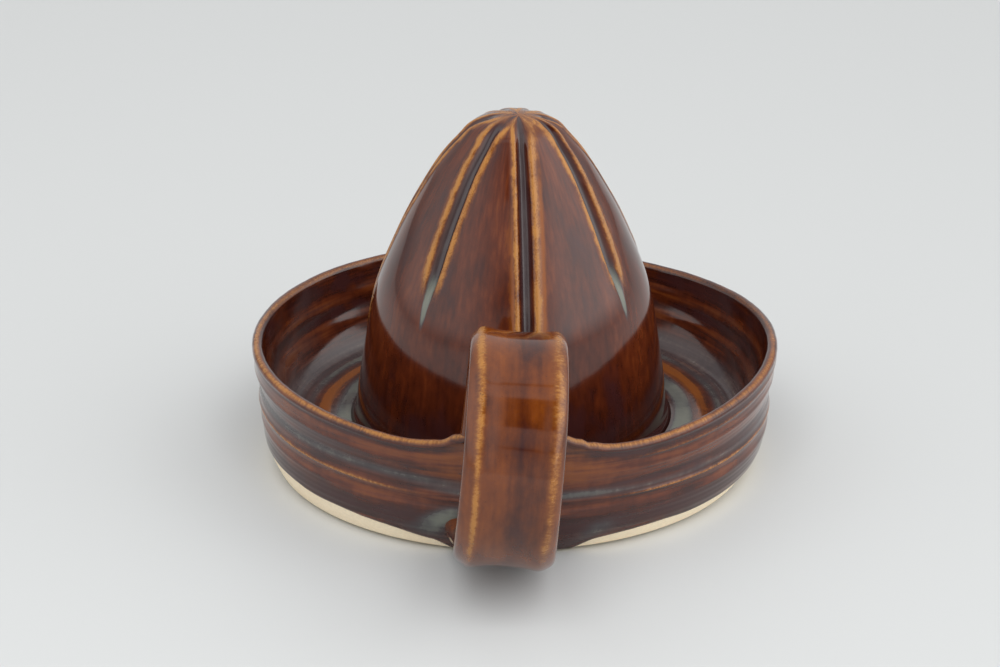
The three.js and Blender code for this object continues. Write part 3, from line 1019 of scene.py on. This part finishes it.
def run_streaks_group():
    """Runs of melted glaze: streaks drawn out along the surface, clouds, finer mottling and specks."""
    inputs = [
        ("Flow", "NodeSocketVector", None),
        ("Width", "NodeSocketFloat", 1.3 * MM),
        ("Length", "NodeSocketFloat", 16 * MM),
        ("Contrast", "NodeSocketFloat", 1.0),
        ("Grain", "NodeSocketFloat", 1.0),
    ]
    outputs = [(name, "NodeSocketFloat") for name in ("Streaks", "Clouds", "Mottle", "Specks")]
    tree, given, wanted = group_tree("run_streaks", "ShaderNodeTree", inputs, outputs)
    split = add_node(tree, "ShaderNodeSeparateXYZ")
    join(tree, given["Flow"], split.inputs[0])
    x, y, z = (Field(tree, socket) for socket in split.outputs)
    drawn = vector(tree, x / given["Width"], y / given["Width"], z / given["Length"])
    runs = (noise(tree, drawn, 1.0, 3, 0.48, 1.3) - 0.5) * given["Contrast"] + 0.5
    join(tree, runs, wanted.inputs["Streaks"])
    slow = vector(tree, x, y, z * 0.6)
    join(tree, noise(tree, slow, 90.0, 3, 0.55, 4.1), wanted.inputs["Clouds"])
    join(tree, noise(tree, slow, 420.0, 4, 0.6, 6.3), wanted.inputs["Mottle"])
    grains = vector(tree, x * given["Grain"], y * given["Grain"], z)
    join(tree, noise(tree, grains, 1700.0, 3, 0.6, 7.9), wanted.inputs["Specks"])
    return tree


def breaking_glaze_group(colours):
    """Iron glaze: brown where it lies even, honey where an edge thins it, grey where it pools."""
    inputs = [
        (name, "NodeSocketFloat", 0.0)
        for name in ("Thin", "Amber", "Pool", "Tone", "Streaks", "Clouds", "Mottle", "Specks")
    ]
    outputs = [
        ("Color", "NodeSocketColor"),
        ("Roughness", "NodeSocketFloat"),
        ("Height", "NodeSocketFloat"),
    ]
    tree, given, wanted = group_tree("breaking_glaze", "ShaderNodeTree", inputs, outputs)
    streaks, clouds, mottle, specks = (given[name] for name in ("Streaks", "Clouds", "Mottle", "Specks"))
    names = ("iron", "rust", "russet", "plum", "amber", "toffee", "honey", "ash", "slate")
    iron, rust, russet, plum, amber, toffee, honey, ash, slate = (
        solid_colour(getattr(colours, name)) for name in names
    )
    # Tone darkens or lightens the glaze; under the dish's rim, inside and out, it is painted shade.
    tone = given["Tone"]
    blotch = streaks * 0.4 + mottle * 0.2 + clouds * 0.4
    body = shade(tree, iron, rust, (blotch + tone * 0.2).smooth(0.34, 0.66))
    body = shade(tree, body, plum, (clouds + tone * 0.28).smooth(0.5, 0.28) * 0.7)
    body = shade(tree, body, russet, (blotch + tone * 0.2).smooth(0.54, 0.76) * 0.8)
    # The amber mask also carries the cone's painted dark reflection beside its front flute.
    fringe = (given["Amber"] + (blotch - 0.5) * 1.4).smooth(0.15, 0.95)
    body = shade(tree, body, amber, fringe * 0.85)
    deep = (given["Pool"] + (blotch - 0.5) * 0.6).smooth(0.2, 0.75)
    pale = (given["Pool"] + (mottle - 0.5) * 0.5 + (streaks - 0.5) * 0.3).smooth(0.45, 1.0)
    body = shade(tree, body, shade(tree, slate, ash, pale), deep * 0.9)
    body = shade(tree, body, iron, specks.smooth(0.64, 0.72) * 0.5)
    near = (given["Thin"] + (blotch - 0.5) * 0.9 + (specks - 0.5) * 0.8).smooth(0.1, 0.7)
    body = shade(tree, body, toffee, near * 0.8)
    crackle = (clouds - 0.5) * 0.6 + (mottle - 0.5) * 0.4 + (specks - 0.5) * 1.1
    broken = (given["Thin"] + crackle).smooth(0.4, 0.98)
    body = shade(tree, body, honey, broken)
    body = shade(tree, body, iron, specks.smooth(0.6, 0.68) * near * 0.6)
    join(tree, body, wanted.inputs["Color"])
    dull = broken * 0.3 + deep * 0.18 + pale * 0.15 + (clouds * 0.05 + 0.07)
    join(tree, dull, wanted.inputs["Roughness"])
    join(tree, streaks * 0.1 + specks * broken + clouds, wanted.inputs["Height"])
    return tree


def raw_clay_group(colours):
    """Bare stoneware: sandy grain, warm patches and a few dark grains."""
    inputs = [("Flow", "NodeSocketVector", None)]
    outputs = [("Color", "NodeSocketColor"), ("Height", "NodeSocketFloat")]
    tree, given, wanted = group_tree("raw_clay", "ShaderNodeTree", inputs, outputs)
    grain = noise(tree, given["Flow"], 900.0, 4, 0.65, 2.2)
    blush = noise(tree, given["Flow"], 60.0, 2, 0.5, 5.6)
    clay = np.array(colours.clay)
    dim = solid_colour(clay * 0.94)
    bright = solid_colour(np.minimum(clay * 1.04, 1))
    base = shade(tree, dim, bright, grain.smooth(0.3, 0.7))
    warm = shade(tree, base, solid_colour(clay * (0.95, 0.84, 0.7)), blush.smooth(0.45, 0.8) * 0.45)
    dark = shade(tree, warm, solid_colour(clay * 0.35), grain.smooth(0.72, 0.8) * 0.5)
    join(tree, dark, wanted.inputs["Color"])
    join(tree, grain * 0.5, wanted.inputs["Height"])
    return tree


def shared_group(name, make, *values):
    """The group of that name, made the first time that it is asked for."""
    return bpy.data.node_groups.get(name) or make(*values)


def use_group(tree, group, **values):
    """Places a group in a tree with these inputs, and gives its outputs by name."""
    node = add_node(tree, "ShaderNodeGroup", node_tree=group)
    for name, value in values.items():
        join(tree, value, node.inputs[name])
    return {socket.name: Field(tree, socket) for socket in node.outputs}


def attribute(tree, name, output="Fac"):
    node = add_node(tree, "ShaderNodeAttribute", attribute_name=name)
    return Field(tree, node.outputs[output])


def glaze_material(name, colours, runs):
    """Brown glaze over bare clay, with a piece's own runs."""
    material = bpy.data.materials.new(name)
    material.use_nodes = True
    tree = material.node_tree
    surface = tree.nodes["Principled BSDF"]
    surface.inputs["IOR"].default_value = GLAZE_IOR
    flow = attribute(tree, "flow", "Vector")
    streaks = use_group(tree, shared_group("run_streaks", run_streaks_group), Flow=flow, **runs)
    glaze = use_group(
        tree,
        shared_group("breaking_glaze", breaking_glaze_group, colours),
        Thin=attribute(tree, "thin"),
        Amber=attribute(tree, "amber"),
        Pool=attribute(tree, "pool"),
        Tone=attribute(tree, "tone"),
        **streaks,
    )
    clay = use_group(tree, shared_group("raw_clay", raw_clay_group, colours), Flow=flow)
    edge = attribute(tree, "bare") + (streaks["Specks"] - 0.5) * (0.5 * MM)
    bare = edge.smooth(-0.12 * MM, 0.12 * MM)
    join(tree, shade(tree, glaze["Color"], clay["Color"], bare), surface.inputs["Base Color"])
    join(tree, bare * CLAY_ROUGHNESS + glaze["Roughness"] * bare.flipped(), surface.inputs["Roughness"])
    relief = add_node(tree, "ShaderNodeBump")
    relief.inputs["Strength"].default_value = RELIEF_STRENGTH
    relief.inputs["Distance"].default_value = RELIEF_DEPTH
    join(tree, clay["Height"] * bare + glaze["Height"] * bare.flipped(), relief.inputs["Height"])
    tree.links.new(relief.outputs[0], surface.inputs["Normal"])
    return material


# Stage


def floor_material(settings):
    """Pale matt floor with faint clouds."""
    material = bpy.data.materials.new("studio_floor")
    material.use_nodes = True
    tree = material.node_tree
    surface = tree.nodes["Principled BSDF"]
    place = add_node(tree, "ShaderNodeTexCoord")
    clouds = noise(tree, Field(tree, place.outputs["Object"]), 3.0, 2, 0.5, 0.4)
    pale = np.array(settings.floor)
    cloudy = shade(tree, solid_colour(pale * 0.985), solid_colour(pale), clouds)
    join(tree, cloudy, surface.inputs["Base Color"])
    surface.inputs["Roughness"].default_value = FLOOR_ROUGHNESS
    return material


def studio_floor(settings):
    """Wide flat floor that the pot stands on."""
    mesh = bpy.data.meshes.new("studio_floor")
    corners = [(x * FLOOR_HALF, y * FLOOR_HALF, 0) for x, y in ((-1, -1), (1, -1), (1, 1), (-1, 1))]
    mesh.from_pydata(corners, [], [(0, 1, 2, 3)])
    mesh.materials.append(floor_material(settings))
    floor = bpy.data.objects.new("studio_floor", mesh)
    bpy.context.scene.collection.objects.link(floor)


def light_tent(settings):
    """The light tent: bright above, behind and at the sides, with a dim open front and dark seams.

    The gap between front and roof is dark in its middle. The camera itself sees a plain backdrop.
    """
    world = bpy.data.worlds.new("light_tent")
    world.use_nodes = True
    tree = world.node_tree
    surface = tree.nodes["Background"]
    place = add_node(tree, "ShaderNodeTexCoord")
    split = add_node(tree, "ShaderNodeSeparateXYZ")
    tree.links.new(place.outputs["Generated"], split.inputs[0])
    x, y, z = (Field(tree, socket) for socket in split.outputs)
    climb = z.step("ARCTAN2", -y) * (180 / math.pi)
    lens = climb.bump(FRONT_SEAM, 6.0) * x.bump(-0.1, 0.15) * -0.35 + 1.0
    seam = climb.bump(FRONT_SEAM, 1.2) * x.bump(0.0, 0.25) * -0.95 + 1.0
    low = climb.smooth(16.0, 0.0) * 0.25 + 1.0
    past_front = climb.smooth(FRONT_TOP - 0.5, FRONT_TOP + 0.5)
    in_roof = climb.smooth(ROOF_EDGE - 1, ROOF_EDGE + 1)
    front = past_front.flipped() * seam * lens * low * settings.front
    above = in_roof * (climb.bump(ROOF_SEAM, 1.2) * -0.9 + 1.0) * settings.above
    gap = past_front * in_roof.flipped() * x.step("ABSOLUTE").smooth(0.12, 0.26)
    front = front + gap * (0.75 * settings.front)
    sides = x.step("ABSOLUTE").smooth(0.2, 0.75)
    side = x.smooth(-0.3, 0.3) * (settings.right - settings.left) + settings.left
    corner = (side - settings.rear) * y.smooth(0.95, 0.0) + settings.rear
    skirt = z.smooth(-0.04, 0.16) * 0.55 + 0.45
    level = (front + above) * sides.flipped() + sides * corner * skirt
    seen = Field(tree, add_node(tree, "ShaderNodeLightPath").outputs["Is Camera Ray"])
    pale = sum(settings.floor) / 3
    join(tree, level * seen.flipped() + seen * pale, surface.inputs["Strength"])
    surface.inputs["Color"].default_value = (1, 1, 1, 1)
    bpy.context.scene.world = world


def fill_lamp(settings):
    """A broad lamp over the camera that fills the shadows and shows in no reflection."""
    lamp = bpy.data.lights.new("front_fill", "AREA")
    lamp.size = LAMP_SIZE
    lamp.energy = settings.fill * math.pi * LAMP_SIZE**2
    holder = bpy.data.objects.new("front_fill", lamp)
    holder.location = LAMP_PLACE
    holder.rotation_euler = (AXIS - holder.location).to_track_quat("-Z", "Y").to_euler()
    holder.visible_glossy = False
    holder.visible_camera = False
    bpy.context.scene.collection.objects.link(holder)


def photo_camera(settings):
    """Camera in front of the handle, looking down at its aim."""
    camera = bpy.data.cameras.new("photo_camera")
    camera.sensor_width = SENSOR_WIDTH
    camera.lens = settings.lens
    camera.clip_start = 0.01
    camera.clip_end = 50
    holder = bpy.data.objects.new("photo_camera", camera)
    back = Vector((0, -math.cos(settings.elevation), math.sin(settings.elevation)))
    holder.location = Vector(settings.aim) + back * settings.distance
    holder.rotation_euler = (math.pi / 2 - settings.elevation, 0, 0)
    bpy.context.scene.collection.objects.link(holder)
    bpy.context.scene.camera = holder


# Operators


class JUICER_OT_dish(bpy.types.Operator):
    """Throw the dish: floor, wall, rim and bare foot"""

    bl_idname = "juicer.dish"
    bl_label = "Dish"

    def execute(self, context):
        scene = context.scene
        grid, masks = dish_grid(scene.juicer_dish)
        dish = skin("dish", grid, masks, closed_rows=True)
        dish.data.materials.append(glaze_material("dish_glaze", scene.juicer_glaze, DISH_RUNS))
        settle(dish, "brown_glaze", "dish_floor", "dish_wall")
        return {"FINISHED"}


class JUICER_OT_reamer(bpy.types.Operator):
    """Grow the fluted reamer and its foot coil"""

    bl_idname = "juicer.reamer"
    bl_label = "Reamer"

    def execute(self, context):
        scene = context.scene
        sizes = scene.juicer_reamer
        material = glaze_material("reamer_glaze", scene.juicer_glaze, REAMER_RUNS)
        tree = reamer_tree(material, scene.juicer_dish.floor_height)
        values = {label: getattr(sizes, name) for label, name in REAMER_INPUTS.items()}
        reamer = grown_mesh("reamer", tree, values)
        if not reamer.data.polygons:
            raise RuntimeError("the reamer's tree made no faces")
        outwards(reamer.data)
        settle(reamer, "brown_glaze", "reamer_cone", "reamer_foot_coil")
        return {"FINISHED"}


class JUICER_OT_handle(bpy.types.Operator):
    """Pull the strap handle and press its ends on"""

    bl_idname = "juicer.handle"
    bl_label = "Handle"

    def execute(self, context):
        scene = context.scene
        grid, masks = strap_grid(scene.juicer_handle)
        handle = skin("handle", grid, masks, closed_rows=False)
        handle.data.materials.append(glaze_material("handle_glaze", scene.juicer_glaze, HANDLE_RUNS))
        settle(handle, "brown_glaze", "strap_handle", "handle_upper_wad", "handle_lower_wad")
        return {"FINISHED"}


class JUICER_OT_stage(bpy.types.Operator):
    """Set the floor, the light and the camera"""

    bl_idname = "juicer.stage"
    bl_label = "Stage"

    def execute(self, context):
        settings = context.scene.juicer_stage
        studio_floor(settings)
        light_tent(settings)
        fill_lamp(settings)
        photo_camera(settings)
        context.scene.view_settings.view_transform = "Standard"
        return {"FINISHED"}


class JUICER_PT_pieces(bpy.types.Panel):
    """Lists the juicer's pieces and its stage"""

    bl_idname = "JUICER_PT_pieces"
    bl_label = "Citrus juicer"
    bl_space_type = "VIEW_3D"
    bl_region_type = "UI"
    bl_category = "Juicer"

    def draw(self, context):
        for operator in OPERATORS:
            self.layout.operator(operator.bl_idname)


OPERATORS = (JUICER_OT_dish, JUICER_OT_reamer, JUICER_OT_handle, JUICER_OT_stage)
SETTINGS = {
    "juicer_dish": DishSizes,
    "juicer_reamer": ReamerSizes,
    "juicer_handle": HandleSizes,
    "juicer_glaze": GlazeColours,
    "juicer_stage": StageSettings,
}
CLASSES = (*SETTINGS.values(), *OPERATORS, JUICER_PT_pieces)


def register():
    for each in CLASSES:
        bpy.utils.register_class(each)
    for name, group in SETTINGS.items():
        setattr(bpy.types.Scene, name, PointerProperty(type=group))


def unregister():
    for name in SETTINGS:
        delattr(bpy.types.Scene, name)
    for each in reversed(CLASSES):
        bpy.utils.unregister_class(each)


def main():
    register()
    bpy.ops.juicer.dish()
    bpy.ops.juicer.reamer()
    bpy.ops.juicer.handle()
    bpy.ops.juicer.stage()


if __name__ == "__main__":
    main()
